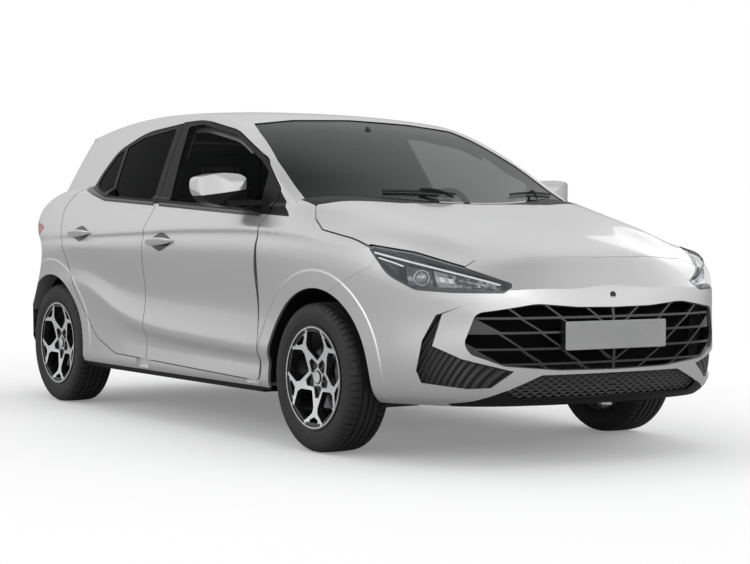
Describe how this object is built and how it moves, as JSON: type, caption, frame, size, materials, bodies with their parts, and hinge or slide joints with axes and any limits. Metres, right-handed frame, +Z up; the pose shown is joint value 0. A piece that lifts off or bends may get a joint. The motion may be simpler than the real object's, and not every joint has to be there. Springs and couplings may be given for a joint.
{
  "type": "five-door hatchback car",
  "caption": "Small hatchback car with opening doors, bonnet and tailgate, steered front wheels and a furnished cabin.",
  "frame": {"origin": "on the ground, at the middle of the car's length and width", "axes": "+Z up, the nose points to -Y, the car's left side is +X"},
  "size_m": [2.0926, 4.113, 1.5021],
  "materials": {
    "paint": "light silver metallic",
    "black_plastic": "matte",
    "black_gloss": "gloss",
    "dark_trim": "soft grained",
    "lamp_clear": "clear",
    "lamp_red": "gloss",
    "glass_clear": "clear",
    "glass_dark": "dark tinted",
    "alloy": "machined and painted",
    "cast_alloy": "cast",
    "tyre": "matte",
    "fabric": "woven",
    "underbody": "coated",
    "steel": "plain",
    "cast": "cast"
  },
  "bodies": {
    "body": {"front_bumper": "paint", "front_fenders": "paint", "cowl": "black_plastic", "headlamps": "lamp_clear", "front_lip": "black_plastic", "rear_diffuser": "black_plastic", "headlamp_housings": "black_gloss", "grille": "black_gloss", "lower_grille": "black_plastic", "side_frame_right": "paint", "side_frame_left": "paint", "roof_panel": "paint", "rear_bumper": "paint", "tail_lamps": "lamp_red", "windshield": "glass_clear", "floor_pan": "underbody", "arch_liners": "black_plastic", "front_seats": "fabric", "rear_seat": "fabric", "dashboard": "dark_trim", "engine": "cast", "radiator": "cast_alloy", "front_subframe": "steel", "rear_axle": "steel", "fuel_tank": "black_plastic", "exhaust": "steel"},
    "bonnet": {"hood": "paint"},
    "tailgate": {"tailgate": "paint", "rear_window": "glass_dark"},
    "front_door_right": {"front_door_right": "paint", "front_glass_right": "glass_clear", "mirror_right": "paint"},
    "rear_door_right": {"rear_door_right": "paint", "rear_glass_right": "glass_dark"},
    "front_door_left": {"front_door_left": "paint", "front_glass_left": "glass_clear", "mirror_left": "paint"},
    "rear_door_left": {"rear_door_left": "paint", "rear_glass_left": "glass_dark"},
    "steering_wheel": {"steering_wheel": "dark_trim"},
    "knuckle_right": {"knuckle_right": "cast_alloy"},
    "front_wheel_right": {"front_tyre_right": "tyre", "front_wheel_right": "alloy"},
    "rear_wheel_right": {"rear_tyre_right": "tyre", "rear_wheel_right": "alloy"},
    "knuckle_left": {"knuckle_left": "cast_alloy"},
    "front_wheel_left": {"front_tyre_left": "tyre", "front_wheel_left": "alloy"},
    "rear_wheel_left": {"rear_tyre_left": "tyre", "rear_wheel_left": "alloy"}
  },
  "joints": [
    {"name": "bonnet_hinge", "type": "hinge", "parent": "body", "child": "bonnet", "pos_m": [0, -0.915, 1.05], "axis": [-1, 0, 0], "range_deg": [0, 52]},
    {"name": "tailgate_hinge", "type": "hinge", "parent": "body", "child": "tailgate", "pos_m": [0, 1.524, 1.44], "axis": [1, 0, 0], "range_deg": [0, 75]},
    {"name": "front_door_hinge_right", "type": "hinge", "parent": "body", "child": "front_door_right", "pos_m": [-0.874, -0.664, 0.6], "axis": [0, 0, 1], "range_deg": [0, 70]},
    {"name": "rear_door_hinge_right", "type": "hinge", "parent": "body", "child": "rear_door_right", "pos_m": [-0.874, 0.388, 0.6], "axis": [0, 0, 1], "range_deg": [0, 70]},
    {"name": "front_door_hinge_left", "type": "hinge", "parent": "body", "child": "front_door_left", "pos_m": [0.874, -0.664, 0.6], "axis": [0, 0, -1], "range_deg": [0, 70]},
    {"name": "rear_door_hinge_left", "type": "hinge", "parent": "body", "child": "rear_door_left", "pos_m": [0.874, 0.388, 0.6], "axis": [0, 0, -1], "range_deg": [0, 70]},
    {"name": "steering_wheel_turn", "type": "hinge", "parent": "body", "child": "steering_wheel", "pos_m": [0.37, -0.33, 0.95], "axis": [0, 0.9135, 0.4067], "range_deg": [-490, 490]},
    {"name": "steer_right", "type": "hinge", "parent": "body", "child": "knuckle_right", "pos_m": [-0.721, -1.155, 0.3105], "axis": [0, 0, 1], "range_deg": [-35.5, 35.5]},
    {"name": "front_wheel_spin_right", "type": "hinge", "parent": "knuckle_right", "child": "front_wheel_right", "pos_m": [-0.766, -1.155, 0.3105], "axis": [1, 0, 0], "continuous": true},
    {"name": "rear_wheel_spin_right", "type": "hinge", "parent": "body", "child": "rear_wheel_right", "pos_m": [-0.766, 1.415, 0.3105], "axis": [1, 0, 0], "continuous": true},
    {"name": "steer_left", "type": "hinge", "parent": "body", "child": "knuckle_left", "pos_m": [0.721, -1.155, 0.3105], "axis": [0, 0, 1], "range_deg": [-35.5, 35.5]},
    {"name": "front_wheel_spin_left", "type": "hinge", "parent": "knuckle_left", "child": "front_wheel_left", "pos_m": [0.766, -1.155, 0.3105], "axis": [1, 0, 0], "continuous": true},
    {"name": "rear_wheel_spin_left", "type": "hinge", "parent": "body", "child": "rear_wheel_left", "pos_m": [0.766, 1.415, 0.3105], "axis": [1, 0, 0], "continuous": true}
  ],
  "couplings": [
    {"joint": "steer_right", "follows": "steering_wheel_turn", "ratio": 0.071429},
    {"joint": "steer_left", "follows": "steering_wheel_turn", "ratio": 0.071429}
  ]
}
